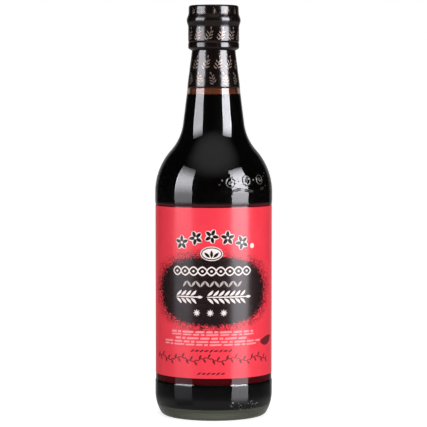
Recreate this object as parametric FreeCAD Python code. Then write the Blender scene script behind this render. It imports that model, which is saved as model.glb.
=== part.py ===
# Soy sauce bottle, 500 ml: a glass bottle with its sauce, screw cap, shrink sleeve and wrap label.
#
# Millimetres, +Z up. The origin is the centre of the bottle's foot, and the front of the label
# faces -Y. Every piece except the label is one profile, drawn in the X-Z half plane and turned
# about Z.

import FreeCAD, Part
import math
import os

Vector = FreeCAD.Vector

# Glass bottle, outside, from the mouth down
GLASS_HEIGHT = 240.3
BODY_DIAMETER = 69.4
MOUTH_ROUNDING = 0.8
FINISH_DIAMETER = 24.9  # straight top of the neck, inside the cap
FINISH_HEIGHT = 22.4
NECK_HEIGHT = 44.9  # conical neck below the finish
NECK_TAPER_DEG = 7.15  # slope of the neck from the vertical
THROAT_RADIUS = 29.2  # concave arc from the neck into the shoulder
SHOULDER_RADIUS = 37.6  # convex arc from the throat to the straight body

# Heel and foot
HEEL_HEIGHT = 13.8  # height at which the heel meets the straight body
HEEL_SWEEP_RADIUS = 24.0  # gentle upper arc of the heel
HEEL_CORNER_RADIUS = 4.0  # tight lower arc, down to the foot
FOOT_RING_WIDTH = 2.4  # flat ring that the bottle stands on
PUSH_UP = 2.2  # rise of the dome under the bottle

# Label panel, set back into the body between two contact rings
UPPER_RING_HEIGHT = 4.1
LOWER_RING_HEIGHT = 6.75
PANEL_DEPTH = 0.28
PANEL_TOP_EASE = 8.1  # radius of both arcs of the soft upper step
RIDGE_RADIUS = 2.3  # convex arc of the lower step, on the contact ring's edge
RIDGE_HOLLOW_RADIUS = 0.7  # concave arc of the lower step, at the panel's foot

# Glass bottle, inside
WALL = 2.3  # behind the label panel
FINISH_WALL = 2.85
FLOOR_THICKNESS = 3.2  # over the top of the dome
INNER_HEEL_RADIUS = 7.0

# Wrap label: paper once round the panel, with its end glued over its start
LABEL_TOP_MARGIN = 3.5  # from the label up to the contact ring
LABEL_BOTTOM_MARGIN = 4.95
LABEL_THICKNESS = 0.12
LABEL_OVERLAP = 9.0  # length of the glued lap
LABEL_SEAM_DEG = 82.0  # where the lap starts, counted from +X

# Cap
CAP_CLEARANCE = 0.10  # round the finish
CAP_WALL = 2.3
CAP_TOP_THICKNESS = 2.2
CAP_LID_INSET = 0.25  # how much smaller the lid's radius is than the skirt's
CAP_CORNER_RADIUS = 1.3
CAP_FOOT_ROUNDING = 0.4
CAP_RIM_PROUD = 0.95  # how far the rim between skirt and lid stands out
CAP_RIM_HEIGHT = 5.6
CAP_RIM_BELOW_TOP = 8.6  # from the cap's top to the middle of the rim
BAND_HEIGHT = 2.7  # tamper band at the foot of the skirt
BAND_GROOVE = 0.6  # height and depth of the groove over the band

# Shrink sleeve over cap and neck
SLEEVE_THICKNESS = 0.12
SLEEVE_FOLD = 4.6  # how far it turns in over the cap's top
SLEEVE_TUCK = 1.9  # height of the slope from the cap's foot in to the neck
SLEEVE_BELOW_CAP = 24.0

# Sauce
FILL_BELOW_SLEEVE = 4.0  # from the sleeve's lower edge down to the sauce

# Places that follow from the sizes above
BODY_RADIUS = BODY_DIAMETER / 2
PANEL_RADIUS = BODY_RADIUS - PANEL_DEPTH
INNER_RADIUS = PANEL_RADIUS - WALL
RING_WALL = BODY_RADIUS - INNER_RADIUS  # wall at the contact rings, shoulder and neck
FINISH_RADIUS = FINISH_DIAMETER / 2
BORE_RADIUS = FINISH_RADIUS - FINISH_WALL

TAPER = math.radians(NECK_TAPER_DEG)
DOWN_NECK = Vector(math.sin(TAPER), 0, -math.cos(TAPER))
OUT_OF_NECK = Vector(math.cos(TAPER), 0, math.sin(TAPER))
NECK_TOP = Vector(FINISH_RADIUS, 0, GLASS_HEIGHT - FINISH_HEIGHT)
NECK_FOOT = NECK_TOP + DOWN_NECK * (NECK_HEIGHT / math.cos(TAPER))
THROAT_CENTRE = NECK_FOOT + OUT_OF_NECK * THROAT_RADIUS

SHOULDER_X = BODY_RADIUS - SHOULDER_RADIUS
SHOULDER_DROP = math.sqrt((SHOULDER_RADIUS + THROAT_RADIUS) ** 2 - (THROAT_CENTRE.x - SHOULDER_X) ** 2)
SHOULDER_CENTRE = Vector(SHOULDER_X, 0, THROAT_CENTRE.z - SHOULDER_DROP)

PANEL_TOP = SHOULDER_CENTRE.z - UPPER_RING_HEIGHT
PANEL_BOTTOM = HEEL_HEIGHT + LOWER_RING_HEIGHT
LABEL_TOP = PANEL_TOP - LABEL_TOP_MARGIN
LABEL_BOTTOM = PANEL_BOTTOM + LABEL_BOTTOM_MARGIN

CAP_FOOT = NECK_TOP.z
CAP_TOP = GLASS_HEIGHT + CAP_TOP_THICKNESS
CAP_BORE_RADIUS = FINISH_RADIUS + CAP_CLEARANCE
SKIRT_RADIUS = CAP_BORE_RADIUS + CAP_WALL
LID_RADIUS = SKIRT_RADIUS - CAP_LID_INSET
FILL_LEVEL = CAP_FOOT - SLEEVE_BELOW_CAP - FILL_BELOW_SLEEVE

SAME_POINT = 1e-6  # a shorter line is left out of an outline


class Profile:
    """An outline in the X-Z half plane, drawn edge by edge from its first point."""

    def __init__(self, x, z):
        self.start = Vector(x, 0, z)
        self.at = self.start
        self.edges = []

    def line_to(self, x, z):
        end = Vector(x, 0, z)
        if self.at.distanceToPoint(end) > SAME_POINT:
            self.edges.append(Part.LineSegment(self.at, end).toShape())
        self.at = end

    def arc_to(self, through, end):
        self.edges.append(Part.Arc(self.at, through, end).toShape())
        self.at = end

    def arc_about(self, centre, end):
        """Takes the short way round centre to end."""
        middle = (self.at - centre) + (end - centre)
        middle.normalize()
        self.arc_to(centre + middle * self.at.distanceToPoint(centre), end)

    def step_to(self, x, first_radius, second_radius):
        """Shifts a rising vertical wall to x over a tangent pair of arcs."""
        shift = x - self.at.x
        height = step_height(abs(shift), first_radius, second_radius)
        side = Vector(math.copysign(1, shift), 0, 0)
        end = self.at + Vector(shift, 0, height)
        first_centre = self.at + side * first_radius
        second_centre = end - side * second_radius
        share = first_radius / (first_radius + second_radius)
        self.arc_about(first_centre, first_centre + (second_centre - first_centre) * share)
        self.arc_about(second_centre, end)

    def turned(self):
        """Closes the outline, along the axis if it starts there, and turns it into a solid."""
        if self.start.x == 0:
            self.line_to(0, self.at.z)
        self.line_to(self.start.x, self.start.z)
        return turn(Part.Face(Part.Wire(self.edges)))


def turn(face):
    return face.revolve(Vector(0, 0, 0), Vector(0, 0, 1), 360)


def step_height(depth, first_radius, second_radius):
    """Height of a pair of tangent arcs that shifts a wall by depth."""
    both = first_radius + second_radius
    return both * math.sin(math.acos(1 - depth / both))


def climb_to_neck(outline, inset):
    """Shoulder and throat, up to the foot of the neck, each set inwards by inset."""
    towards_throat = (THROAT_CENTRE - SHOULDER_CENTRE).normalize()
    handover = SHOULDER_CENTRE + towards_throat * (SHOULDER_RADIUS - inset)
    outline.arc_about(SHOULDER_CENTRE, handover)
    outline.arc_about(THROAT_CENTRE, NECK_FOOT - OUT_OF_NECK * inset)


def climb_heel(outline):
    """Foot, domed underneath, and the two arcs of the heel up to the straight body."""
    sweep_centre = Vector(BODY_RADIUS - HEEL_SWEEP_RADIUS, 0, HEEL_HEIGHT)
    between_centres = HEEL_SWEEP_RADIUS - HEEL_CORNER_RADIUS
    lean = math.asin((HEEL_HEIGHT - HEEL_CORNER_RADIUS) / between_centres)
    outwards = Vector(math.cos(lean), 0, -math.sin(lean))
    corner_centre = sweep_centre + outwards * between_centres
    foot_outer = corner_centre.x
    foot_inner = foot_outer - FOOT_RING_WIDTH
    dome_radius = (foot_inner**2 + PUSH_UP**2) / (2 * PUSH_UP)

    outline.arc_about(Vector(0, 0, PUSH_UP - dome_radius), Vector(foot_inner, 0, 0))
    outline.line_to(foot_outer, 0)
    outline.arc_about(corner_centre, corner_centre + outwards * HEEL_CORNER_RADIUS)
    outline.arc_about(sweep_centre, Vector(BODY_RADIUS, 0, HEEL_HEIGHT))


def glass_envelope():
    """The bottle's outside, as if it were glass right through."""
    lip = Vector(FINISH_RADIUS - MOUTH_ROUNDING, 0, GLASS_HEIGHT - MOUTH_ROUNDING)

    outline = Profile(0, PUSH_UP)
    climb_heel(outline)
    outline.line_to(BODY_RADIUS, PANEL_BOTTOM)
    outline.step_to(PANEL_RADIUS, RIDGE_RADIUS, RIDGE_HOLLOW_RADIUS)
    outline.line_to(PANEL_RADIUS, PANEL_TOP - step_height(PANEL_DEPTH, PANEL_TOP_EASE, PANEL_TOP_EASE))
    outline.step_to(BODY_RADIUS, PANEL_TOP_EASE, PANEL_TOP_EASE)
    outline.line_to(BODY_RADIUS, SHOULDER_CENTRE.z)
    climb_to_neck(outline, 0)
    outline.line_to(NECK_TOP.x, NECK_TOP.z)
    outline.line_to(FINISH_RADIUS, lip.z)
    outline.arc_about(lip, Vector(lip.x, 0, GLASS_HEIGHT))
    return outline.turned()


def glass_cavity():
    """The space inside the bottle, from its floor up through the mouth."""
    floor = PUSH_UP + FLOOR_THICKNESS
    heel = Vector(INNER_RADIUS - INNER_HEEL_RADIUS, 0, floor + INNER_HEEL_RADIUS)
    inner_neck_top = NECK_TOP - OUT_OF_NECK * RING_WALL
    bore_foot = inner_neck_top + DOWN_NECK * ((BORE_RADIUS - inner_neck_top.x) / DOWN_NECK.x)

    outline = Profile(0, floor)
    outline.line_to(heel.x, floor)
    outline.arc_about(heel, Vector(INNER_RADIUS, 0, heel.z))
    outline.line_to(INNER_RADIUS, SHOULDER_CENTRE.z)
    climb_to_neck(outline, RING_WALL)
    outline.line_to(bore_foot.x, bore_foot.z)
    outline.line_to(BORE_RADIUS, GLASS_HEIGHT)
    return outline.turned()


def make_sauce(cavity):
    """The sauce fills the cavity up to its level."""
    return cavity.common(Part.makeCylinder(BODY_RADIUS, FILL_LEVEL))


def climb_cap(outline):
    """The cap's outside above its skirt: rounded rim, lid and the lid's rounded edge."""
    rim = CAP_TOP - CAP_RIM_BELOW_TOP
    edge = Vector(LID_RADIUS - CAP_CORNER_RADIUS, 0, CAP_TOP - CAP_CORNER_RADIUS)
    outline.line_to(SKIRT_RADIUS, rim - CAP_RIM_HEIGHT / 2)
    crest = Vector(SKIRT_RADIUS + CAP_RIM_PROUD, 0, rim)
    outline.arc_to(crest, Vector(LID_RADIUS, 0, rim + CAP_RIM_HEIGHT / 2))
    outline.line_to(LID_RADIUS, edge.z)
    outline.arc_about(edge, Vector(edge.x, 0, CAP_TOP))


def make_cap():
    """Tamper band, skirt, rim and lid over a plain bore that seats on the bottle's mouth."""
    groove_foot = CAP_FOOT + BAND_HEIGHT
    foot_edge = Vector(SKIRT_RADIUS - CAP_FOOT_ROUNDING, 0, CAP_FOOT + CAP_FOOT_ROUNDING)

    outline = Profile(CAP_BORE_RADIUS, CAP_FOOT)
    outline.line_to(foot_edge.x, CAP_FOOT)
    outline.arc_about(foot_edge, Vector(SKIRT_RADIUS, 0, foot_edge.z))
    outline.line_to(SKIRT_RADIUS, groove_foot)
    outline.line_to(SKIRT_RADIUS - BAND_GROOVE, groove_foot + BAND_GROOVE / 2)
    outline.line_to(SKIRT_RADIUS, groove_foot + BAND_GROOVE)
    climb_cap(outline)
    outline.line_to(0, CAP_TOP)
    outline.line_to(0, GLASS_HEIGHT)
    outline.line_to(CAP_BORE_RADIUS, GLASS_HEIGHT)
    return outline.turned()


def make_sleeve():
    """Shrink film that hugs the neck and the cap, bridges the groove and turns in on the lid."""
    lower = NECK_TOP + DOWN_NECK * (SLEEVE_BELOW_CAP / math.cos(TAPER))
    tuck = NECK_TOP + DOWN_NECK * (SLEEVE_TUCK / math.cos(TAPER))

    inside = Profile(lower.x, lower.z)
    inside.line_to(tuck.x, tuck.z)
    inside.line_to(SKIRT_RADIUS, CAP_FOOT)
    climb_cap(inside)
    inside.line_to(LID_RADIUS - SLEEVE_FOLD, CAP_TOP)
    film = Part.Wire(inside.edges).makeOffset2D(-SLEEVE_THICKNESS, join=0, fill=True, openResult=True)
    return turn(film.Faces[0])


def paper_round(radius, turn_deg):
    """A strip of the label's height and thickness, wrapped at radius from the +X side."""
    foot = Vector(0, 0, LABEL_BOTTOM)
    height = LABEL_TOP - LABEL_BOTTOM
    outer = Part.makeCylinder(radius + LABEL_THICKNESS, height, foot, Vector(0, 0, 1), turn_deg)
    return outer.cut(Part.makeCylinder(radius, height, foot))


def make_label():
    """One paper sheet round the panel, with its end lapped over its start at the back."""
    lap_radius = PANEL_RADIUS + LABEL_THICKNESS
    lap = paper_round(lap_radius, math.degrees(LABEL_OVERLAP / lap_radius))
    lap.rotate(Vector(0, 0, 0), Vector(0, 0, 1), LABEL_SEAM_DEG)
    return paper_round(PANEL_RADIUS, 360).fuse(lap)


def main():
    cavity = glass_cavity()
    pieces = {
        "glass_bottle": glass_envelope().cut(cavity),
        "soy_sauce": make_sauce(cavity),
        "cap": make_cap(),
        "shrink_sleeve": make_sleeve(),
        "wrap_label": make_label(),
    }
    os.makedirs("parts", exist_ok=True)
    for name, shape in pieces.items():
        shape.exportStep(os.path.join("parts", name + ".step"))
        print(f"{name}: {len(shape.Solids)} solid, valid {shape.isValid()}, {shape.Volume / 1000:.3f} cm3")


main()
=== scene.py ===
import math

import bpy
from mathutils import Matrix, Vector, noise


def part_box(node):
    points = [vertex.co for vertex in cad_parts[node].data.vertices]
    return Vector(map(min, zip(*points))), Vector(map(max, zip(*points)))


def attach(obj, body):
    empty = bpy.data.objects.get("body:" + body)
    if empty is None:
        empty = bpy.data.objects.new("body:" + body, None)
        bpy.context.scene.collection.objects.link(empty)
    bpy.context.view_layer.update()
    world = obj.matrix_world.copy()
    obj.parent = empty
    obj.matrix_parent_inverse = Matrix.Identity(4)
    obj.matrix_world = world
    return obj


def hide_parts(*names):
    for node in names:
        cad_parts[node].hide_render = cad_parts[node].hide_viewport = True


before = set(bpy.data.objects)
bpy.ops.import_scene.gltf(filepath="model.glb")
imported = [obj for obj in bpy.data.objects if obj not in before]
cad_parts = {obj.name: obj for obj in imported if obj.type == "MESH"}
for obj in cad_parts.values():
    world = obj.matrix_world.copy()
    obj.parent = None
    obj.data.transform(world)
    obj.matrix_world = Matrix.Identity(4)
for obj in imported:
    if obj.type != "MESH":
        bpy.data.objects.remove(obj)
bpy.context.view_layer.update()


# ---------------------------------------------------------------------------------------------
# Glass bottle
# Clear flint glass, blown in a mould: foot with a domed underside, heel, contact ring, recessed
# label panel, round shoulder and conical neck. One closed wall, lathed from a single outline,
# with the mould's raised marks on the shoulder and the heel.
MM = 0.001
_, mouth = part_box("glass_bottle")
BODY_R = mouth[0]
GLASS_TOP = mouth[2]
sauce_low, sauce_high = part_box("soy_sauce")
INNER_R = sauce_high[0]
FLOOR_Z = sauce_low[2]
FILL_Z = sauce_high[2]
label_low, label_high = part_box("wrap_label")
sleeve_low, sleeve_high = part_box("shrink_sleeve")
cap_low, cap_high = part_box("cap")

PAPER = 0.12 * MM
PANEL_R = label_high[0] - PAPER
FINISH_R = 12.45 * MM
BORE_R = 9.6 * MM
NECK_SLOPE = math.radians(7.15)
THROAT_ARC = 29.2 * MM
SHOULDER_ARC = 37.6 * MM
NECK_DROP = 44.9 * MM
HEEL_TOP = 13.8 * MM
HEEL_ARC = 24.0 * MM
HEEL_CORNER = 4.0 * MM
FOOT_RING = 2.4 * MM
PUSH_UP = 2.2 * MM
INNER_HEEL = 7.0 * MM
RIDGE_Z = 20.55 * MM
UPPER_RING = 4.1 * MM
RIDGE_ARCS = (2.3 * MM, 0.7 * MM)
PANEL_TOP_ARCS = (1.2 * MM, 15.0 * MM)
LIP = 0.8 * MM
BORE_FOOT_RISE = 6 * MM
WETTED_TOP = sleeve_low[2] + 3 * MM
BOTTLE_SEGMENTS = 180

NECK_FOOT = (FINISH_R + NECK_DROP * math.tan(NECK_SLOPE), cap_low[2] - NECK_DROP)
THROAT = (
    NECK_FOOT[0] + THROAT_ARC * math.cos(NECK_SLOPE),
    NECK_FOOT[1] + THROAT_ARC * math.sin(NECK_SLOPE),
)
SHOULDER_X = BODY_R - SHOULDER_ARC
SHOULDER_Z = THROAT[1] - math.sqrt((SHOULDER_ARC + THROAT_ARC) ** 2 - (THROAT[0] - SHOULDER_X) ** 2)
HANDOVER_DEG = math.degrees(math.atan2(THROAT[1] - SHOULDER_Z, THROAT[0] - SHOULDER_X))
PANEL_STEP = BODY_R - PANEL_R
PANEL_TOP_RISE = math.sqrt(sum(PANEL_TOP_ARCS) ** 2 - (sum(PANEL_TOP_ARCS) - PANEL_STEP) ** 2)
PANEL_TOP_Z = SHOULDER_Z - UPPER_RING - PANEL_TOP_RISE


def arc(centre, radius, start_deg, end_deg, steps):
    """Points of an arc in the X-Z plane, without its first one."""
    turns = [math.radians(start_deg + (end_deg - start_deg) * i / steps) for i in range(1, steps + 1)]
    return [(centre[0] + radius * math.cos(t), centre[1] + radius * math.sin(t)) for t in turns]


def straight(start, end, steps):
    """Points of a straight stretch, without its first one."""
    return [
        (start[0] + (end[0] - start[0]) * i / steps, start[1] + (end[1] - start[1]) * i / steps)
        for i in range(1, steps + 1)
    ]


def step_turn(shift, arcs):
    """How far, in degrees, each of the two arcs of a step in a wall turns."""
    return math.degrees(math.acos(1 - abs(shift) / sum(arcs)))


def double_arc(start, end_x, arcs, steps):
    """Shifts a rising wall to end_x over two tangent arcs; their points, without the first one."""
    side = math.copysign(1, end_x - start[0])
    base = 90 + side * 90
    turn = step_turn(end_x - start[0], arcs)
    rise = sum(arcs) * math.sin(math.radians(turn))
    first = arc((start[0] + side * arcs[0], start[1]), arcs[0], base, base - side * turn, steps)
    second_centre = (end_x - side * arcs[1], start[1] + rise)
    return first + arc(second_centre, arcs[1], base + 180 - side * turn, base + 180, steps)


def deselect():
    if bpy.context.object and bpy.context.object.mode == "EDIT":
        bpy.ops.object.mode_set(mode="OBJECT")
    bpy.ops.object.select_all(action="DESELECT")


def lathe(name, outline, segments):
    """Extrudes one corner along the outline and spins it once round the Z axis."""
    deselect()
    bpy.ops.mesh.primitive_plane_add(size=MM)
    piece = bpy.context.object
    piece.name = name
    piece.data.name = name
    bpy.ops.object.mode_set(mode="EDIT")
    bpy.ops.mesh.select_mode(type="VERT")
    bpy.ops.mesh.merge(type="CENTER")
    bpy.ops.transform.translate(value=(outline[0][0], 0, outline[0][1]))
    for here, there in zip(outline, outline[1:]):
        step = (there[0] - here[0], 0, there[1] - here[1])
        bpy.ops.mesh.extrude_vertices_move(TRANSFORM_OT_translate={"value": step})
    bpy.ops.mesh.select_all(action="SELECT")
    bpy.ops.mesh.spin(steps=segments, angle=math.tau, center=(0, 0, 0), axis=(0, 0, 1))
    bpy.ops.mesh.select_all(action="SELECT")
    bpy.ops.mesh.remove_doubles(threshold=1e-6)
    bpy.ops.mesh.normals_make_consistent(inside=False)
    bpy.ops.object.mode_set(mode="OBJECT")
    bpy.ops.object.shade_smooth_by_angle(angle=math.radians(35))
    return piece


def shoulder_climb(inset, top_z):
    """Shoulder, throat and neck, set in by inset, up to a height on the neck."""
    shoulder = arc((SHOULDER_X, SHOULDER_Z), SHOULDER_ARC - inset, 0, HANDOVER_DEG, 26)
    throat = arc(THROAT, THROAT_ARC + inset, 180 + HANDOVER_DEG, 180 + math.degrees(NECK_SLOPE), 20)
    neck_end = throat[-1][0] - (top_z - throat[-1][1]) * math.tan(NECK_SLOPE)
    return shoulder + throat + straight(throat[-1], (neck_end, top_z), 8)


def heel_climb():
    """Outside of the foot and the heel, from the centre of the dome to the straight body."""
    lean = math.asin((HEEL_TOP - HEEL_CORNER) / (HEEL_ARC - HEEL_CORNER))
    sweep = (BODY_R - HEEL_ARC, HEEL_TOP)
    reach = HEEL_ARC - HEEL_CORNER
    corner = (sweep[0] + reach * math.cos(lean), HEEL_CORNER)
    ring_in = corner[0] - FOOT_RING
    dome_r = (ring_in**2 + PUSH_UP**2) / (2 * PUSH_UP)
    dome_deg = math.degrees(math.asin(ring_in / dome_r))
    dome = arc((0, PUSH_UP - dome_r), dome_r, 90, 90 - dome_deg, 8)
    foot_ring = straight(dome[-1], (corner[0], 0), 2)
    turn = arc(corner, HEEL_CORNER, -90, -math.degrees(lean), 10)
    return [(0, PUSH_UP)] + dome + foot_ring + turn + arc(sweep, HEEL_ARC, -math.degrees(lean), 0, 14)


def outer_wall():
    outline = heel_climb()
    outline += straight(outline[-1], (BODY_R, RIDGE_Z), 3)
    outline += double_arc(outline[-1], PANEL_R, RIDGE_ARCS, 6)
    outline += straight(outline[-1], (PANEL_R, label_low[2]), 2)
    outline += straight(outline[-1], (PANEL_R, label_high[2]), 12)
    outline += straight(outline[-1], (PANEL_R, PANEL_TOP_Z), 1)
    outline += double_arc(outline[-1], BODY_R, PANEL_TOP_ARCS, 7)
    outline += straight(outline[-1], (BODY_R, SHOULDER_Z), 2)
    outline += shoulder_climb(0, cap_low[2])
    return outline


def inner_wall(inset, low_z, top_z):
    """The wall that the sauce touches, from the centre of the floor up to a height on the neck."""
    heel = (INNER_R - INNER_HEEL, FLOOR_Z + INNER_HEEL)
    outline = [(0, low_z)] + straight((0, low_z), (heel[0], low_z), 3)
    outline += arc(heel, INNER_HEEL + inset, -90, 0, 12)
    outline += straight(outline[-1], (INNER_R + inset, SHOULDER_Z), 10)
    return outline + shoulder_climb(BODY_R - INNER_R - inset, top_z)


def bottle_outline():
    lip = (FINISH_R - LIP, GLASS_TOP - LIP)
    bore_foot = cap_low[2] + BORE_FOOT_RISE
    outline = outer_wall()
    outline += straight(outline[-1], (FINISH_R, lip[1]), 4) + arc(lip, LIP, 0, 90, 5)
    outline += straight(outline[-1], (BORE_R, GLASS_TOP), 2)
    outline += straight(outline[-1], (BORE_R, bore_foot), 4)
    inside = inner_wall(0, FLOOR_Z, FILL_Z)
    neck_x = inside[-1][0] - (WETTED_TOP - FILL_Z) * math.tan(NECK_SLOPE)
    outline += straight(outline[-1], (neck_x, WETTED_TOP), 4)
    outline += straight(outline[-1], inside[-1], 4)
    return outline + inside[-2::-1]


bottle = lathe("bottle_glass_wall", bottle_outline(), BOTTLE_SEGMENTS)

# Raised marks, drawn flat as (millimetres round from the front, millimetres up): ringed bean
# roundels on the right shoulder with beads between them and long leaves below, and dots and small
# rings on the heel.
RELIEF = 0.16 * MM
MARK_EDGE = 0.22  # share of the relief above which a face counts as a mark
FOOT, WETTED, PAINTED_LABEL_REFLECTION, AMBER, MARKED = 1, 2, 3, 4, 5  # material slots after the plain glass
ROUNDEL_R = 2.7
ROUNDELS = [(10.0, 139.2), (20.6, 140.2), (31.4, 140.6)]
BEADS = [
    (3.2, 138.0), (5.0, 140.6), (15.3, 139.9), (26.0, 140.6), (36.4, 142.6), (38.6, 144.2), (36.8, 137.0)]
LEAVES = [(14.0, 134.9, 6.0, 14), (21.8, 134.4, 7.0, -6), (33.0, 135.4, 4.0, 10)]
HEEL_DOTS = [(10.5 + 1.55 * i + 0.4 * (i % 3), 6.6 + 1.2 * ((i * 5) % 4)) for i in range(14)]
HEEL_RINGS = [(11.0, 9.9), (16.6, 8.2), (24.4, 10.3), (28.5, 8.9)]


def ridge(distance, width):
    """Height of a rounded ridge, 1 at its middle and 0 from half its width outwards."""
    share = min(abs(distance) * 2 / width, 1)
    return (1 - share * share) ** 2


def oval_distance(u, v, centre, length, height, turn_deg):
    turn = math.radians(turn_deg)
    along = (u - centre[0]) * math.cos(turn) + (v - centre[1]) * math.sin(turn)
    across = (v - centre[1]) * math.cos(turn) - (u - centre[0]) * math.sin(turn)
    return math.hypot(along * 2 / length, across * 2 / height)


def shoulder_relief(u, v):
    heights = [0]
    for number, centre in enumerate(ROUNDELS):
        away = math.hypot(u - centre[0], v - centre[1])
        heights.append(ridge(away - ROUNDEL_R, 0.8))
        bean = oval_distance(u, v, centre, 3.3, 2.0, 35 + 50 * number)
        heights.append(ridge(bean - 0.65, 0.7))
    for centre in BEADS:
        heights.append(ridge(math.hypot(u - centre[0], v - centre[1]), 1.3))
    for x, z, length, turn_deg in LEAVES:
        oval = oval_distance(u, v, (x, z), length, 1.5, turn_deg)
        heights.append(ridge(oval - 0.7, 0.9))
    return max(heights)


def heel_relief(u, v):
    dots = [ridge(math.hypot(u - x, v - z), 1.0) for x, z in HEEL_DOTS]
    rings = [ridge(math.hypot(u - x, v - z) - 1.1, 0.8) for x, z in HEEL_RINGS]
    return max(dots + rings)


def shoulder_radius(z):
    return SHOULDER_X + math.sqrt(max(SHOULDER_ARC**2 - (z - SHOULDER_Z) ** 2, 0))


def heel_radius(z):
    return BODY_R - HEEL_ARC + math.sqrt(HEEL_ARC**2 - (HEEL_TOP - z) ** 2)


def raise_marks(piece, low_z, high_z, from_deg, to_deg, cuts, radius_at, relief):
    """Refines a patch of the outside and lifts its points by the marks' height."""
    deselect()
    bpy.context.view_layer.objects.active = piece
    bpy.ops.object.mode_set(mode="EDIT")
    bpy.ops.mesh.select_mode(type="FACE")
    bpy.ops.mesh.select_all(action="DESELECT")
    bpy.ops.object.mode_set(mode="OBJECT")
    for polygon in piece.data.polygons:
        x, y, z = polygon.center
        outside = math.hypot(x, y) > INNER_R * 0.9 and polygon.normal.xy.dot(Vector((x, y))) > 0
        inside_patch = low_z < z < high_z and from_deg < math.degrees(math.atan2(x, -y)) < to_deg
        polygon.select = outside and inside_patch
    bpy.ops.object.mode_set(mode="EDIT")
    bpy.ops.mesh.subdivide(number_cuts=cuts)
    bpy.ops.object.mode_set(mode="OBJECT")
    for vertex in piece.data.vertices:
        if vertex.select:
            x, y, z = vertex.co
            around = math.atan2(x, -y)
            surface = radius_at(z)
            height = relief(around * BODY_R / MM, z / MM) * RELIEF
            tilt = (z - SHOULDER_Z) / SHOULDER_ARC if z > SHOULDER_Z else 0
            out = surface + height * math.sqrt(1 - tilt * tilt)
            vertex.co = (out * math.sin(around), -out * math.cos(around), z + height * tilt)
    for polygon in piece.data.polygons:
        x, y, z = polygon.center
        if polygon.select and relief(math.atan2(x, -y) * BODY_R / MM, z / MM) > MARK_EDGE:
            polygon.material_index = MARKED


raise_marks(bottle, SHOULDER_Z + 0.2 * MM, 146.5 * MM, 2, 70, 9, shoulder_radius, shoulder_relief)
raise_marks(bottle, 5.0 * MM, 12.4 * MM, 13, 58, 7, heel_radius, heel_relief)


def colour(hex_code):
    """An sRGB hex colour as linear RGBA."""
    channels = [int(hex_code[i:i + 2], 16) / 255 for i in (1, 3, 5)]
    linear = [c / 12.92 if c <= 0.04045 else ((c + 0.055) / 1.055) ** 2.4 for c in channels]
    return (*linear, 1.0)


def add_node(tree, kind, settings={}, inputs={}):
    """Adds a node, with its settings, and its inputs set to values or linked to outputs."""
    node = tree.nodes.new(kind)
    for key, value in settings.items():
        setattr(node, key, value)
    for key, value in inputs.items():
        if isinstance(value, bpy.types.NodeSocket):
            tree.links.new(value, node.inputs[key])
        else:
            node.inputs[key].default_value = value
    return node


def new_material(name):
    """An empty material, with its tree and output."""
    material = bpy.data.materials.new(name)
    material.use_nodes = True
    material.node_tree.nodes.clear()
    output = add_node(material.node_tree, "ShaderNodeOutputMaterial")
    return material, material.node_tree, output


def mould_ripple(tree, spacing, strength, depth):
    """Slow waves that a mould leaves in glass, as a normal."""
    place = add_node(tree, "ShaderNodeTexCoord").outputs["Object"]
    waves = add_node(tree, "ShaderNodeTexNoise", inputs={
        "Vector": place, "Scale": 1 / spacing, "Detail": 1.5})
    bump = add_node(tree, "ShaderNodeBump", inputs={
        "Height": waves.outputs["Fac"], "Strength": strength, "Distance": depth})
    return bump.outputs["Normal"]


def glass_material(name, hex_code, rough, clear=1.0):
    """Soda-lime glass: IOR 1.52, fire-polished, with the faint ripple of a mould."""
    material, tree, output = new_material(name)
    shader = add_node(tree, "ShaderNodeBsdfPrincipled", inputs={
        "Base Color": colour(hex_code), "Roughness": rough, "IOR": 1.52, "Transmission Weight": clear,
        "Normal": mould_ripple(tree, 14 * MM, 0.25, 0.25 * MM)})
    tree.links.new(shader.outputs["BSDF"], output.inputs["Surface"])
    return material


# Flint glass is clear with hardly a tint, and gives sharp reflections.
flint_glass = glass_material("Flint glass", "#F2F6F0", 0.01)
# The foot is thick enough to look olive, and a little cloudy.
foot_glass = glass_material("Thick flint glass of the foot", "#B4BBA2", 0.02, clear=0.90)
# A brown film of sauce dulls the inside above the level.
wetted_glass = glass_material("Flint glass wetted with sauce", "#9A6850", 0.10)
# Beside the label the glass is tinted red, a painted reflection of the red label, which shows as a thin dark
# line.
painted_label_reflection_glass = glass_material("Flint glass with a painted red reflection of the label", "#9A0A1E", 0.03, clear=0.86)
# Over the wetted wall the outside looks amber, and stays glossy.
amber_glass = glass_material("Flint glass over the wetted wall", "#A8887A", 0.01)
# The marks met the cold mould, and scatter light softly.
marked_glass = glass_material("Flint glass, chilled on the marks", "#F2F6F0", 0.29)

for material in (flint_glass, foot_glass, wetted_glass, painted_label_reflection_glass, amber_glass, marked_glass):
    bottle.data.materials.append(material)
for polygon in bottle.data.polygons:
    x, y, z = polygon.center
    outside = polygon.normal.xy.dot(Vector((x, y))) > 0
    if polygon.material_index == MARKED:
        continue
    if z < FLOOR_Z + 1.5 * MM:
        polygon.material_index = FOOT
    elif FILL_Z < z < WETTED_TOP:
        polygon.material_index = AMBER if outside else WETTED
    # The bare glass strips just below and above the label get the painted red reflection of the label.
    elif outside and (RIDGE_Z + 1.2 * MM < z < label_low[2] or label_high[2] < z < PANEL_TOP_Z + 1.6 * MM):
        polygon.material_index = PAINTED_LABEL_REFLECTION

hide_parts("glass_bottle")
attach(bottle, "root")


# ---------------------------------------------------------------------------------------------
# Soy sauce
# A dark, thin liquid that looks black in any depth. It reaches just into the glass wall, so that
# no air shows between them, and climbs the wall a little at its level.
WALL_BITE = 0.15 * MM
MENISCUS = 0.25 * MM
MENISCUS_REACH = 1.6 * MM


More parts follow.
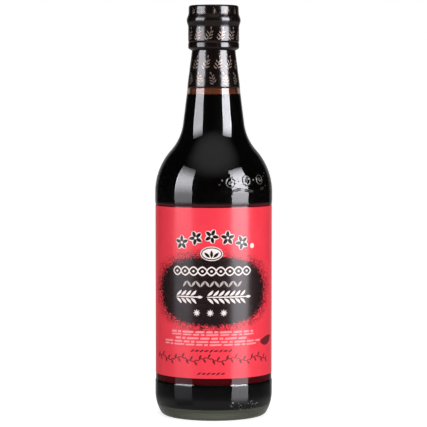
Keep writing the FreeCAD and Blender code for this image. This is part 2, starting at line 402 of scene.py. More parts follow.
def sauce_outline():
    outline = inner_wall(WALL_BITE, FLOOR_Z - WALL_BITE, FILL_Z + MENISCUS)
    edge = outline[-1]
    steps = 9
    for i in range(1, steps + 1):
        share = i / steps
        outline.append((edge[0] - MENISCUS_REACH * share, FILL_Z + MENISCUS * (1 - share) ** 3))
    return outline + [(0, FILL_Z)]


sauce = lathe("soy_sauce_fill", sauce_outline(), BOTTLE_SEGMENTS)

# Behind glass the sauce has almost no gloss of its own, because the two bend light alike.
behind_glass, tree, output = new_material("Soy sauce against glass")
shader = add_node(tree, "ShaderNodeBsdfPrincipled", inputs={
    "Base Color": colour("#050303"), "Roughness": 0.3, "IOR": 1.38, "Specular IOR Level": 0.03})
tree.links.new(shader.outputs["BSDF"], output.inputs["Surface"])

# Its open surface is glossy and a warmer brown.
open_sauce, tree, output = new_material("Soy sauce surface")
shader = add_node(tree, "ShaderNodeBsdfPrincipled", inputs={
    "Base Color": colour("#160905"), "Roughness": 0.03, "IOR": 1.38})
tree.links.new(shader.outputs["BSDF"], output.inputs["Surface"])

sauce.data.materials.append(behind_glass)
sauce.data.materials.append(open_sauce)
for polygon in sauce.data.polygons:
    if polygon.center.z > FILL_Z - 0.01 * MM and polygon.normal.z > 0.3:
        polygon.material_index = 1

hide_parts("soy_sauce")
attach(sauce, "root")


# ---------------------------------------------------------------------------------------------
# Screw cap
# Black moulded polypropylene. The film covers all of it but the middle of its top, so the plain
# turned piece stays, with a fine moulded grain.
cap_plastic, tree, output = new_material("Black moulded polypropylene")
place = add_node(tree, "ShaderNodeTexCoord").outputs["Object"]
grain = add_node(tree, "ShaderNodeTexNoise", inputs={"Vector": place, "Scale": 1 / (0.5 * MM), "Detail": 3.0})
bump = add_node(tree, "ShaderNodeBump", inputs={
    "Height": grain.outputs["Fac"], "Strength": 0.25, "Distance": 0.05 * MM})
shader = add_node(tree, "ShaderNodeBsdfPrincipled", inputs={
    "Base Color": colour("#141313"), "Roughness": 0.42, "IOR": 1.49, "Normal": bump.outputs["Normal"]})
tree.links.new(shader.outputs["BSDF"], output.inputs["Surface"])
for material_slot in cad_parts["cap"].material_slots:
    material_slot.material = cap_plastic


# ---------------------------------------------------------------------------------------------
# Shrink sleeve
# Black PVC film, shrunk with hot air over the cap and the top of the neck. It bridges the cap's
# rim, puckers where it tucks in under the skirt, and leaves the middle of the cap's top bare.
FILM = 0.11 * MM
FILM_OUT = 0.12 * MM  # from the glass to the outside of the film
TUCK_Z = cap_low[2] - 1.9 * MM
RIM_PROUD = 0.95 * MM
SKIRT_R = sleeve_high[0] - RIM_PROUD
LID_R = SKIRT_R - 0.25 * MM
RIM_Z = cap_high[2] - 8.6 * MM
RIM_REACH = 4.4 * MM
GROOVE_Z = cap_low[2] + 3.0 * MM
GROOVE_HALF = 0.55 * MM
GROOVE_SINK = 0.30 * MM
LID_CORNER = 1.35 * MM
FOLD_R = LID_R - 4.6 * MM
SLEEVE_SEGMENTS = 200


def neck_radius(z):
    return FINISH_R + (cap_low[2] - z) * math.tan(NECK_SLOPE)


def film_radius(z):
    """The film's outside, from its lower edge on the neck up to the lid's corner."""
    if z <= TUCK_Z:
        return neck_radius(z) + FILM_OUT
    if z <= cap_low[2]:
        share = (z - TUCK_Z) / (cap_low[2] - TUCK_Z)
        tuck_r = neck_radius(TUCK_Z) + FILM_OUT
        return tuck_r + (SKIRT_R - tuck_r) * math.sin(share * math.pi / 2)
    lid_share = min(max((z - RIM_Z) / RIM_REACH, 0), 1)
    bead = (1 + math.cos(math.pi * min(abs(z - RIM_Z) / RIM_REACH, 1))) / 2
    groove = max(1 - abs(z - GROOVE_Z) / GROOVE_HALF, 0)
    return SKIRT_R - (SKIRT_R - LID_R) * lid_share + RIM_PROUD * bead - GROOVE_SINK * groove


def film_outline():
    corner = (LID_R - LID_CORNER, sleeve_high[2] - LID_CORNER)
    heights = [sleeve_low[2] + 1.1 * MM * i for i in range(20)] + [TUCK_Z + 0.38 * MM * i for i in range(6)]
    heights += [cap_low[2] + 0.275 * MM * i for i in range(1, 15)]
    heights += [cap_low[2] + 4.1 * MM + 0.55 * MM * i for i in range(1, 34)]
    heights = [z for z in heights if z < corner[1]]
    outline = [(film_radius(z), z) for z in heights] + arc(corner, LID_CORNER, 0, 90, 6)
    return outline + straight(outline[-1], (FOLD_R, sleeve_high[2]), 6)


sleeve = lathe("sleeve_film", film_outline(), SLEEVE_SEGMENTS)

# Shrinking leaves fine upright puckers, deepest at the tuck, and slack waves elsewhere.
for vertex in sleeve.data.vertices:
    x, y, z = vertex.co
    around = math.atan2(x, -y)
    from_tuck = z - TUCK_Z - 0.8 * MM
    near_tuck = math.exp(-((from_tuck / (2.2 * MM)) ** 2)) + 0.45 * math.exp(-((from_tuck / (9 * MM)) ** 2))
    upright = noise.noise(Vector((math.cos(around) * 7.5, math.sin(around) * 7.5, z / (9 * MM))))
    slack = noise.noise(Vector((math.cos(around) * 2.6, math.sin(around) * 2.6, z / (6 * MM) + 9)))
    swell = (0.5 + 0.5 * upright) * 0.26 * MM * near_tuck + (0.5 + 0.5 * slack) * 0.07 * MM
    on_side = min(math.hypot(x, y) / FOLD_R - 1, 1)
    scale = 1 + swell * on_side / math.hypot(x, y)
    vertex.co = (x * scale, y * scale, z)

deselect()
bpy.context.view_layer.objects.active = sleeve
film_wall = sleeve.modifiers.new("film", "SOLIDIFY")
film_wall.thickness = FILM
film_wall.offset = -1
bpy.ops.object.modifier_apply(modifier="film")

# Glossy film: close to black, warm where light gets through, with the orange-peel of shrinking.
black_film, tree, output = new_material("Black PVC shrink film")
place = add_node(tree, "ShaderNodeTexCoord").outputs["Object"]
peel = add_node(tree, "ShaderNodeTexNoise", inputs={"Vector": place, "Scale": 1 / (2.6 * MM), "Detail": 2.0})
peel_bump = add_node(tree, "ShaderNodeBump", inputs={
    "Height": peel.outputs["Fac"], "Strength": 0.55, "Distance": 0.16 * MM})
tint = add_node(tree, "ShaderNodeMix", {"data_type": "RGBA"}, {
    "Factor": peel.outputs["Fac"], 6: colour("#0B0605"), 7: colour("#150C0A")})
shader = add_node(tree, "ShaderNodeBsdfPrincipled", inputs={
    "Base Color": tint.outputs[2], "Roughness": 0.15, "IOR": 1.52, "Normal": peel_bump.outputs["Normal"]})
tree.links.new(shader.outputs["BSDF"], output.inputs["Surface"])
sleeve.data.materials.append(black_film)

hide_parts("shrink_sleeve")
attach(sleeve, "root")


# ---------------------------------------------------------------------------------------------
# Sleeve print
# Bronze ink, printed on the film in rows of leafy sprigs before it is shrunk. Each shape is drawn
# flat, wrapped round the film and given the thickness of ink.
INK = 0.03 * MM
SLICE = 1.5 * MM
FILM_PRINT_LIFT = 0.07 * MM


def roll_up(piece, radius_at, round_r):
    """Wraps a flat piece onto the bottle: x = 0 comes to the front, and x runs round at round_r."""
    for vertex in piece.data.vertices:
        u, y, v = vertex.co
        around = u / round_r
        out = radius_at(u, v) - y
        vertex.co = (out * math.sin(around), -out * math.cos(around), v)


def ink_shape(u, v, length, width, turn_deg=0, corner=1.0, point=0.0, bend=0.0):
    """A flat filled oval, in mm: corner below 1 squares it, point thins its ends, bend curves it."""
    deselect()
    bpy.ops.mesh.primitive_circle_add(vertices=20, radius=1, fill_type="NGON", rotation=(math.pi / 2, 0, 0))
    bpy.ops.object.transform_apply(location=False, rotation=True, scale=False)
    turn = math.radians(turn_deg)
    shape = bpy.context.object
    for vertex in shape.data.vertices:
        x = math.copysign(abs(vertex.co.x) ** corner, vertex.co.x)
        z = math.copysign(abs(vertex.co.z) ** corner, vertex.co.z)
        along = x * length / 2
        across = z * (1 - point * x * x) * width / 2 + bend * (x * x - 0.5)
        vertex.co = (
            (u + along * math.cos(turn) - across * math.sin(turn)) * MM, 0,
            (v + along * math.sin(turn) + across * math.cos(turn)) * MM)
    return shape


def join_shapes(name, shapes):
    deselect()
    for shape in shapes:
        shape.select_set(True)
    bpy.context.view_layer.objects.active = shapes[0]
    bpy.ops.object.join()
    piece = bpy.context.object
    piece.name = name
    piece.data.name = name
    return piece


def lay_ink(piece, radius_at, round_r, material):
    """Slices a flat print upright, wraps it, and gives it the thickness of ink."""
    deselect()
    bpy.context.view_layer.objects.active = piece
    places = [vertex.co.x for vertex in piece.data.vertices]
    bpy.ops.object.mode_set(mode="EDIT")
    for number in range(math.ceil(min(places) / SLICE), math.ceil(max(places) / SLICE)):
        bpy.ops.mesh.select_all(action="SELECT")
        bpy.ops.mesh.bisect(plane_co=(number * SLICE, 0, 0), plane_no=(1, 0, 0))
    bpy.ops.object.mode_set(mode="OBJECT")
    roll_up(piece, radius_at, round_r)
    wall = piece.modifiers.new("ink", "SOLIDIFY")
    wall.thickness = INK
    wall.offset = 1
    bpy.ops.object.modifier_apply(modifier="ink")
    bpy.ops.object.shade_smooth_by_angle(angle=math.radians(35))
    piece.data.materials.append(material)


def sprig(height):
    """One upright sprig as a flat joined piece: a curved stem, thin paired leaves and a bud."""
    k = height / 9.0
    shapes = [ink_shape(0, 0, 8.6 * k, 0.34 * k, 84, corner=0.8, bend=0.7 * k)]
    for i, z in enumerate((-2.7, -0.7, 1.3)):
        for side in (-1, 1):
            u = side * (1.35 - 0.15 * i) * k
            v = (z + 0.5 * side) * k
            length = (3.1 - 0.3 * i) * k
            shapes.append(ink_shape(
                u, v, length, 0.80 * k, 90 - side * 52, point=0.6, bend=0.25 * side * k))
    shapes.append(ink_shape(-0.2 * k, 4.1 * k, 1.7 * k, 0.9 * k, 70, point=0.5))
    return join_shapes("sprig", shapes)


def sprig_row(name, count, middle_z, height, lean_deg, round_r, shift):
    """Copies a sprig round one row, each with its own mesh, and joins the row."""
    first = sprig(height)
    lean = math.radians(lean_deg)
    row = []
    for number in range(count):
        copy = first.copy()
        copy.data = first.data.copy()
        bpy.context.collection.objects.link(copy)
        u = ((number + shift) / count - 0.5) * math.tau * round_r
        for vertex in copy.data.vertices:
            x, _, z = vertex.co
            vertex.co = (
                u + x * math.cos(lean) + z * math.sin(lean), 0,
                middle_z + z * math.cos(lean) - x * math.sin(lean))
        row.append(copy)
    bpy.data.objects.remove(first)
    return join_shapes(name, row)


# Bronze ink, half metallic, shimmers a little and changes shade from flake to flake.
bronze_ink, tree, output = new_material("Bronze metallic ink")
place = add_node(tree, "ShaderNodeTexCoord").outputs["Object"]
flakes = add_node(tree, "ShaderNodeTexNoise", inputs={
    "Vector": place, "Scale": 1 / (0.6 * MM), "Detail": 2.0})
ink_tint = add_node(tree, "ShaderNodeMix", {"data_type": "RGBA"}, {
    "Factor": flakes.outputs["Fac"], 6: colour("#655851"), 7: colour("#94857C")})
shader = add_node(tree, "ShaderNodeBsdfPrincipled", inputs={
    "Base Color": ink_tint.outputs[2], "Metallic": 0.45, "Roughness": 0.30})
tree.links.new(shader.outputs["BSDF"], output.inputs["Surface"])

# (name, how many round, middle height, sprig height, lean, radius that spaces them, shift)
SPRIG_ROWS = [
    ("film_print_skirt", 13, 225.4, 8.4, 18, 14.9, 0.15),
    ("film_print_lid", 13, 239.0, 3.9, -14, 14.7, 0.55),
    ("film_print_neck_high", 12, 208.6, 8.6, 16, 14.2, 0.4),
    ("film_print_neck_low", 12, 199.4, 7.4, -16, 14.8, 0.9),
]
for name, count, middle_z, height, lean_deg, round_r, shift in SPRIG_ROWS:
    print_row = sprig_row(name, count, middle_z * MM, height, lean_deg, round_r * MM, shift)
    lay_ink(print_row, lambda u, v: film_radius(v) + FILM_PRINT_LIFT, round_r * MM, bronze_ink)
    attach(print_row, "root")


# ---------------------------------------------------------------------------------------------
# Wrap label
# One sheet of coated paper, printed red, wrapped once round the panel and glued over its own
# start at the back. Made flat, then rolled up, with its thickness added last.
LAP = 9.0 * MM
SEAM = math.radians(172.0)
LABEL_R = PANEL_R + PAPER
LABEL_LENGTH = math.tau * LABEL_R + LAP
LABEL_HEIGHT = label_high[2] - label_low[2]


def label_radius(u, v):
    """Paper lies on the glass, and over the lap on itself."""
    from_end = u - (LABEL_LENGTH - LAP - SEAM * LABEL_R)
    lapped = min(max(from_end / (1.5 * MM), 0), 1)
    return PANEL_R + PAPER + PAPER * (3 * lapped**2 - 2 * lapped**3)


deselect()
bpy.ops.mesh.primitive_grid_add(x_subdivisions=230, y_subdivisions=24, size=1, rotation=(math.pi / 2, 0, 0))
label = bpy.context.object
label.name = "wrap_label_paper"
label.data.name = "wrap_label_paper"
label.scale = (LABEL_LENGTH, LABEL_HEIGHT, 1)
label.location = (LABEL_LENGTH / 2 - SEAM * LABEL_R, 0, (label_low[2] + label_high[2]) / 2)
bpy.ops.object.transform_apply(location=True, rotation=True, scale=True)
roll_up(label, label_radius, LABEL_R)
solid = label.modifiers.new("paper", "SOLIDIFY")
solid.thickness = PAPER
solid.offset = -1
bpy.ops.object.modifier_apply(modifier="paper")
bpy.ops.object.shade_smooth_by_angle(angle=math.radians(40))

# Coated paper, offset printed: a red ground with a brushed dark oval on the front, frayed into
# short strokes at its edge. The pattern follows the sheet's own UV map, turned to millimetres.
PRINT_MIDDLE = -1.2
OVAL_AT = (PRINT_MIDDLE, 76.4)
OVAL_HALF = (37.2, 20.8)
OVAL_POWER = 2.3

red_paper, tree, output = new_material("Red coated paper")
sheet = add_node(tree, "ShaderNodeUVMap").outputs["UV"]
flat = add_node(tree, "ShaderNodeMapping", inputs={
    "Vector": sheet, "Scale": (LABEL_LENGTH / MM, LABEL_HEIGHT / MM, 1),
    "Location": (-SEAM * LABEL_R / MM, label_low[2] / MM, 0)}).outputs["Vector"]
from_oval = add_node(tree, "ShaderNodeMapping", inputs={
    "Vector": flat, "Scale": (1 / OVAL_HALF[0], 1 / OVAL_HALF[1], 0),
    "Location": (-OVAL_AT[0] / OVAL_HALF[0], -OVAL_AT[1] / OVAL_HALF[1], 0)}).outputs["Vector"]
both_sides = add_node(tree, "ShaderNodeVectorMath", {"operation": "ABSOLUTE"}, {0: from_oval})
axes = add_node(tree, "ShaderNodeSeparateXYZ", inputs={"Vector": both_sides.outputs["Vector"]})
bulge_x = add_node(tree, "ShaderNodeMath", {"operation": "POWER"}, {0: axes.outputs["X"], 1: OVAL_POWER})
bulge_y = add_node(tree, "ShaderNodeMath", {"operation": "POWER"}, {0: axes.outputs["Y"], 1: OVAL_POWER})
bulge = add_node(tree, "ShaderNodeMath", {"operation": "ADD"}, {0: bulge_x.outputs[0], 1: bulge_y.outputs[0]})
reach = add_node(tree, "ShaderNodeMath", {"operation": "POWER"}, {0: bulge.outputs[0], 1: 1 / OVAL_POWER})

# Bristle marks run along the oval; the fray at its edge is 1 to 2 mm coarse.
strokes = add_node(tree, "ShaderNodeMapping", inputs={
    "Vector": flat, "Scale": (0.16, 0.55, 1)}).outputs["Vector"]
stroke_noise = add_node(tree, "ShaderNodeTexNoise", inputs={
    "Vector": strokes, "Scale": 1.0, "Detail": 5.0, "Roughness": 0.7}).outputs["Fac"]
fray = add_node(tree, "ShaderNodeTexNoise", inputs={
    "Vector": flat, "Scale": 0.62, "Detail": 5.0, "Roughness": 0.75}).outputs["Fac"]
fray_shift = add_node(tree, "ShaderNodeMath", {"operation": "MULTIPLY_ADD"}, {0: fray, 1: 0.5, 2: -0.25})
ragged = add_node(tree, "ShaderNodeMath", {"operation": "ADD"}, {
    0: reach.outputs[0], 1: fray_shift.outputs[0]})
solid_ink = add_node(tree, "ShaderNodeMapRange", inputs={
    "Value": ragged.outputs[0], "From Min": 0.94, "From Max": 0.99, "To Min": 1.0, "To Max": 0.0})
fringe_zone = add_node(tree, "ShaderNodeMapRange", inputs={
    "Value": reach.outputs[0], "From Min": 1.0, "From Max": 1.22, "To Min": 1.0, "To Max": 0.15})
beyond = add_node(tree, "ShaderNodeMath", {"operation": "LESS_THAN"}, {0: ragged.outputs[0], 1: 1.17})
scribble = add_node(tree, "ShaderNodeTexNoise", inputs={
    "Vector": flat, "Scale": 0.42, "Detail": 1.0, "Roughness": 0.5, "Distortion": 1.2}).outputs["Fac"]
scribble_line = add_node(tree, "ShaderNodeMath", {"operation": "PINGPONG"}, {0: scribble, 1: 0.10})
scribble_ink = add_node(tree, "ShaderNodeMapRange", inputs={
    "Value": scribble_line.outputs[0], "From Min": 0.040, "From Max": 0.052, "To Min": 1.0, "To Max": 0.0})
fringe_ink = add_node(tree, "ShaderNodeMath", {"operation": "MULTIPLY"}, {
    0: fringe_zone.outputs["Result"], 1: scribble_ink.outputs["Result"]})
fringe = add_node(tree, "ShaderNodeMath", {"operation": "MULTIPLY"}, {
    0: fringe_ink.outputs[0], 1: beyond.outputs[0]})
dark_share = add_node(tree, "ShaderNodeMath", {"operation": "MAXIMUM"}, {
    0: solid_ink.outputs["Result"], 1: fringe.outputs[0]})

brushed = add_node(tree, "ShaderNodeMapRange", inputs={
    "Value": stroke_noise, "From Min": 0.38, "From Max": 0.72})
ink = add_node(tree, "ShaderNodeMix", {"data_type": "RGBA"}, {
    "Factor": brushed.outputs["Result"], 6: colour("#160A0B"), 7: colour("#2C1A1C")})
mottle = add_node(tree, "ShaderNodeTexNoise", inputs={
    "Vector": flat, "Scale": 0.12, "Detail": 6.0}).outputs["Fac"]
ground = add_node(tree, "ShaderNodeMix", {"data_type": "RGBA"}, {
    "Factor": mottle, 6: colour("#E82E3E"), 7: colour("#F23D4F")})
printed = add_node(tree, "ShaderNodeMix", {"data_type": "RGBA"}, {
    "Factor": dark_share.outputs[0], 6: ground.outputs[2], 7: ink.outputs[2]})
fibres = add_node(tree, "ShaderNodeTexNoise", inputs={
    "Vector": flat, "Scale": 1.1, "Detail": 4.0}).outputs["Fac"]
paper_bump = add_node(tree, "ShaderNodeBump", inputs={
    "Height": fibres, "Strength": 0.22, "Distance": 0.06 * MM}).outputs["Normal"]
shader = add_node(tree, "ShaderNodeBsdfPrincipled", inputs={
    "Base Color": printed.outputs[2], "Roughness": 0.24, "IOR": 1.45, "Specular IOR Level": 0.52,
    "Normal": paper_bump})
tree.links.new(shader.outputs["BSDF"], output.inputs["Surface"])
label.data.materials.append(red_paper)

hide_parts("wrap_label")
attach(label, "root")


# ---------------------------------------------------------------------------------------------
# Label print
# Offset inks on the paper: blossoms on an arc, a badge, a chain of lozenges, ears of grain, rows
# of dashes and a vine, with plain panels at the back. Drawn flat in millimetres (round from the
# front, up), one piece for each ink, and wrapped on the paper.
WHITE_LIFT = 0.02 * MM
DARK_LIFT = 0.06 * MM
TOP_LIFT = 0.10 * MM
BADGE_LIFT = 0.14 * MM
BADGE_V = 98.2
CHAIN_V = 88.0
EARS_V = 73.0


def coated_ink(name, low_hex, high_hex):
    """Opaque offset ink under the same varnish as the paper, uneven by a shade."""
    material, tree, output = new_material(name)
    place = add_node(tree, "ShaderNodeTexCoord").outputs["Object"]
    cover = add_node(tree, "ShaderNodeTexNoise", inputs={
        "Vector": place, "Scale": 1 / (1.2 * MM), "Detail": 3.0})
    tint = add_node(tree, "ShaderNodeMix", {"data_type": "RGBA"}, {
        "Factor": cover.outputs["Fac"], 6: colour(low_hex), 7: colour(high_hex)})
    shader = add_node(tree, "ShaderNodeBsdfPrincipled", inputs={
        "Base Color": tint.outputs[2], "Roughness": 0.26, "IOR": 1.45, "Specular IOR Level": 0.52})
    tree.links.new(shader.outputs["BSDF"], output.inputs["Surface"])
    return material


white_ink = coated_ink("White ink", "#E4D6D4", "#F6ECEA")
dark_ink = coated_ink("Dark brown ink", "#170B0C", "#2A1618")
grey_ink = coated_ink("Warm grey ink", "#A79C9A", "#C2B6B3")
pink_ink = coated_ink("Pink ink", "#EE8088", "#F59BA0")
maroon_ink = coated_ink("Maroon ink", "#5E121D", "#7A1C28")


def blossom(u, v, size, turn_deg, width):
    """Five petals round a middle."""
    petals = []
    for i in range(5):
        turn = math.radians(turn_deg + 72 * i)
        petals.append(ink_shape(
            u + size * math.cos(turn), v + size * math.sin(turn), size * 1.75, width,
            turn_deg + 72 * i, point=0.25))
    return petals


white = []
dark = []
top_white = []
grey = []
pink = []
maroon = []

# Blossoms on an arc over the oval, white edged
for number, u in enumerate((-19.5, -10.6, -1.2, 8.2, 17.1)):
    v = 108.2 - 0.011 * (u - PRINT_MIDDLE) ** 2
    white += blossom(u, v, 2.35, 90 + 24 * number, 3.3)
    dark += blossom(u, v, 2.25, 90 + 24 * number, 2.0)
    top_white.append(ink_shape(u, v, 1.5, 1.5))
white.append(ink_shape(24.2, 102.4, 3.0, 3.0))

# Badge on the oval's upper edge
white.append(ink_shape(PRINT_MIDDLE, BADGE_V, 13.2, 8.4))
dark.append(ink_shape(PRINT_MIDDLE, BADGE_V, 12.2, 7.4))
top_white.append(ink_shape(PRINT_MIDDLE, BADGE_V, 11.0, 6.2))

# Chain of lozenges
for number in range(9):
    u = -22.6 + 5.35 * number
    white.append(ink_shape(u, CHAIN_V, 6.2, 5.6, corner=1.25))
    dark.append(ink_shape(u, CHAIN_V, 4.6, 4.0, corner=1.35))
    top_white.append(ink_shape(u, CHAIN_V, 1.5, 1.3, corner=1.2))

# Row of small leaves
for number in range(13):
    grey.append(ink_shape(-17.4 + 2.75 * number, 80.6, 4.3, 1.35, 54 - 108 * (number % 2), point=0.5))

# Two ears of grain lying along the oval
for middle, length, pairs in ((-15.6, 16.0, 4), (8.8, 26.2, 7)):
    top_white.append(ink_shape(middle, EARS_V, length, 0.75, 0, corner=0.7))
    for number in range(pairs):
        u = middle - length / 2 + (number + 0.75) * (length - 3.4) / pairs
        for side in (-1, 1):
            top_white.append(ink_shape(
                u, EARS_V + 2.2 * side, 4.6, 1.5, 42 * side, point=0.45, bend=0.3 * side))
    top_white.append(ink_shape(middle + length / 2 - 0.6, EARS_V, 3.6, 1.6, 0, point=0.5))

# Three small flowers
for u in (-9.9, -2.0, 5.9):
    for turn_deg in (0, 45, 90, 135):
        top_white.append(ink_shape(u, 63.8, 4.2, 0.85, turn_deg, point=0.4))

# Rows of dashes: (first u, last u, height, tallness)
for first, last, v, tall in ((-27, 23.5, 52.6, 1.2), (-27, 22, 51.0, 0.9), (-24, 16, 48.9, 1.2),
                             (-33, 28.5, 46.9, 1.1), (-33, 27, 45.2, 1.0)):
    u = first
    number = 0
    while u < last:
        length = 2.2 + 1.7 * ((number * 7 + round(v)) % 4)
        pink.append(ink_shape(u + length / 2, v, length, tall, 1.5, corner=0.5))
        u += length + 0.9
        number += 1

# Maroon pod at the right, and the vine under the dashes
maroon.append(ink_shape(38.0, 46.4, 13.0, 5.2, 10, corner=0.8, point=0.35, bend=0.8))
for number in range(30):
    u = -40.5 + 2.68 * number
    v = 36.6 + 0.9 * math.sin(number * 1.05)
    maroon.append(ink_shape(u, v, 3.4, 0.55, 38 * math.cos(number * 1.05), corner=0.8))
    maroon.append(ink_shape(u + 0.4, v + 1.5 * (-1) ** number, 2.9, 1.15, 58 * (-1) ** number, point=0.6))
for v, first, count in ((41.7, -12.6, 9), (28.4, -8.6, 6)):
    for number in range(count):
        maroon.append(ink_shape(first + 2.8 * number, v, 2.9, 1.0, 34 - 22 * (number % 2), point=0.5))

# Plain panels at the back: a white field with dark rows and a rule
for middle in (-73.0, 76.0):
    white.append(ink_shape(middle, 75.5, 34.0, 84.0, corner=0.12))
    for number in range(15):
        length = 28.0 - 2.6 * ((number * 5) % 4)
        dark.append(ink_shape(middle - 14.0 + length / 2, 110.5 - 4.9 * number, length, 1.3, corner=0.35))

for name, shapes, lift, material in (
        ("label_print_white", white, WHITE_LIFT, white_ink),
        ("label_print_grey", grey, WHITE_LIFT, grey_ink),
        ("label_print_pink", pink, WHITE_LIFT, pink_ink),
        ("label_print_maroon", maroon, WHITE_LIFT, maroon_ink),
        ("label_print_dark", dark, DARK_LIFT, dark_ink),
        ("label_print_top", top_white, TOP_LIFT, white_ink)):
    print_piece = join_shapes(name, shapes)
    lay_ink(print_piece, lambda u, v: LABEL_R + lift, LABEL_R, material)
    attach(print_piece, "root")

# Three leaves fan out inside the badge.
fan = []
for side in (-1, 0, 1):
    u = PRINT_MIDDLE + 2.6 * side
    fan.append(ink_shape(u, 97.9 - 0.5 * abs(side), 4.4, 1.7, 90 - 48 * side, point=0.5))
badge_fan = join_shapes("label_print_badge", fan)
lay_ink(badge_fan, lambda u, v: LABEL_R + BADGE_LIFT, LABEL_R, dark_ink)
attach(badge_fan, "root")


# ---------------------------------------------------------------------------------------------
# Studio
# A white cyclorama, two tall softboxes that show as strips on the glass, and plain soft light.
CAMERA_X = -0.0001
CAMERA_Y = -1.247
CAMERA_Z = 0.190
PITCH = math.radians(3.232)

deselect()
bpy.ops.object.camera_add(location=(CAMERA_X, CAMERA_Y, CAMERA_Z), rotation=(math.pi / 2 - PITCH, 0, 0))
camera = bpy.context.object
camera.data.sensor_width = 36
camera.data.lens = 177.4
bpy.context.scene.camera = camera

bpy.ops.mesh.primitive_plane_add(size=60, location=(0, 0, 0))
floor = bpy.context.object
floor.name = "studio_floor"
floor_paint, tree, output = new_material("White studio floor")
matt = add_node(tree, "ShaderNodeBsdfDiffuse", inputs={"Color": colour("#B4B4B4")})
white_glow = add_node(tree, "ShaderNodeEmission", inputs={"Color": colour("#FFFFFF"), "Strength": 0.80})
lit_floor = add_node(tree, "ShaderNodeAddShader", inputs={0: matt.outputs[0], 1: white_glow.outputs[0]})
tree.links.new(lit_floor.outputs[0], output.inputs["Surface"])
floor.data.materials.append(floor_paint)
floor.visible_glossy = False


SOFTBOX_DISTANCE = 0.9
SOFTBOX_FOOT = -0.45
SOFTBOX_BASE = 0.18  # glow far from its brightest height


def softbox(name, azimuth_deg, width, top, strength, brightest_z, reach):
    """A tall glowing panel that faces the bottle, shows only in reflections and fades up and down."""
    turn = math.radians(azimuth_deg)
    deselect()
    bpy.ops.mesh.primitive_plane_add(size=1, rotation=(math.pi / 2, 0, turn))
    panel = bpy.context.object
    panel.name = name
    height = top - SOFTBOX_FOOT
    panel.scale = (width, height, 1)
    panel.location = (
        SOFTBOX_DISTANCE * math.sin(turn), -SOFTBOX_DISTANCE * math.cos(turn), (top + SOFTBOX_FOOT) / 2)
    glow, tree, output = new_material(name + " glow")
    place = add_node(tree, "ShaderNodeNewGeometry").outputs["Position"]
    up = add_node(tree, "ShaderNodeSeparateXYZ", inputs={"Vector": place}).outputs["Z"]
    away = add_node(tree, "ShaderNodeMath", {"operation": "MULTIPLY_ADD"}, {
        0: up, 1: 1 / reach, 2: -brightest_z / reach})
    square = add_node(tree, "ShaderNodeMath", {"operation": "MULTIPLY"}, {
        0: away.outputs[0], 1: away.outputs[0]})
    fall = add_node(tree, "ShaderNodeMath", {"operation": "POWER"}, {0: 1 / math.e, 1: square.outputs[0]})
    level = add_node(tree, "ShaderNodeMath", {"operation": "MULTIPLY_ADD"}, {
        0: fall.outputs[0], 1: strength, 2: SOFTBOX_BASE})
    emit = add_node(tree, "ShaderNodeEmission", inputs={
        "Color": colour("#F9F8FF"), "Strength": level.outputs[0]})
    tree.links.new(emit.outputs[0], output.inputs["Surface"])
    panel.data.materials.append(glow)
    panel.visible_camera = False
    panel.visible_diffuse = False
    panel.visible_shadow = False


softbox("left_softbox", -62, 0.64, 0.89, 11.0, 0.43, 0.30)
softbox("right_softbox", 53, 0.57, 0.89, 18.5, 0.42, 0.39)


def lamp(name, location, aim, size, power):
    deselect()
    bpy.ops.object.light_add(type="AREA", location=location)
    light = bpy.context.object
    light.name = name
    light.data.size = size
    light.data.energy = power
    light.rotation_euler = (Vector(aim) - Vector(location)).to_track_quat("-Z", "Y").to_euler()
    light.visible_glossy = False
    light.visible_transmission = False


lamp("front_lamp", (0.70, -1.45, 0.45), (0, 0, 0.1), 0.8, 11.5)
lamp("top_lamp", (0, -0.2, 1.4), (0, 0, 0.1), 0.8, 5)

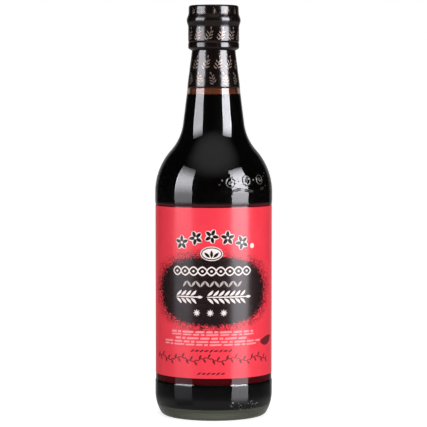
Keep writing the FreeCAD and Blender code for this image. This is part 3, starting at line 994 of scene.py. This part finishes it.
# The world: white for the camera and through glass, and in reflections a white backdrop behind,
# a soft overhead panel and a little light from below.
world = bpy.data.worlds.new("Studio")
bpy.context.scene.world = world
world.use_nodes = True
tree = world.node_tree
tree.nodes.clear()
light_path = add_node(tree, "ShaderNodeLightPath")
direction = add_node(tree, "ShaderNodeTexCoord").outputs["Generated"]
behind = add_node(tree, "ShaderNodeVectorMath", {"operation": "DOT_PRODUCT"}, {0: direction, 1: (0, 1, 0)})
backdrop = add_node(tree, "ShaderNodeMapRange", inputs={
    "Value": behind.outputs["Value"], "From Min": math.cos(math.radians(38)),
    "From Max": math.cos(math.radians(22)), "To Min": 0.03, "To Max": 1.0})
overhead_at = Vector((0, -0.34, 0.94)).normalized()
overhead = add_node(tree, "ShaderNodeVectorMath", {"operation": "DOT_PRODUCT"}, {
    0: direction, 1: overhead_at})
overhead_glow = add_node(tree, "ShaderNodeMapRange", {"interpolation_type": "SMOOTHSTEP"}, {
    "Value": overhead.outputs["Value"], "From Min": math.cos(math.radians(48)),
    "From Max": math.cos(math.radians(4)), "To Min": 0.0, "To Max": 0.50})
elevation = add_node(tree, "ShaderNodeSeparateXYZ", inputs={"Vector": direction}).outputs["Z"]
below = add_node(tree, "ShaderNodeMapRange", inputs={
    "Value": elevation, "From Min": -0.08, "From Max": -0.30, "To Min": 0.0, "To Max": 0.30})
mirrored = add_node(tree, "ShaderNodeMath", {"operation": "MULTIPLY"}, {
    0: backdrop.outputs["Result"], 1: 0.3})
reflected = add_node(tree, "ShaderNodeMath", {"operation": "MAXIMUM"}, {
    0: mirrored.outputs[0], 1: overhead_glow.outputs["Result"]})
reflected_low = add_node(tree, "ShaderNodeMath", {"operation": "MAXIMUM"}, {
    0: reflected.outputs[0], 1: below.outputs["Result"]})
glossy = add_node(tree, "ShaderNodeMix", {"data_type": "FLOAT"}, {
    "Factor": light_path.outputs["Is Glossy Ray"], 2: 0.45, 3: reflected_low.outputs[0]})
through_glass = add_node(tree, "ShaderNodeMix", {"data_type": "FLOAT"}, {
    "Factor": light_path.outputs["Is Transmission Ray"], 2: glossy.outputs[0], 3: backdrop.outputs["Result"]})
seen = add_node(tree, "ShaderNodeMix", {"data_type": "FLOAT"}, {
    "Factor": light_path.outputs["Is Camera Ray"], 2: through_glass.outputs[0], 3: 1.0})
sky = add_node(tree, "ShaderNodeBackground", inputs={"Color": colour("#FFFFFF"), "Strength": seen.outputs[0]})
add_node(tree, "ShaderNodeOutputWorld", inputs={"Surface": sky.outputs[0]})

bpy.context.scene.view_settings.view_transform = "Standard"
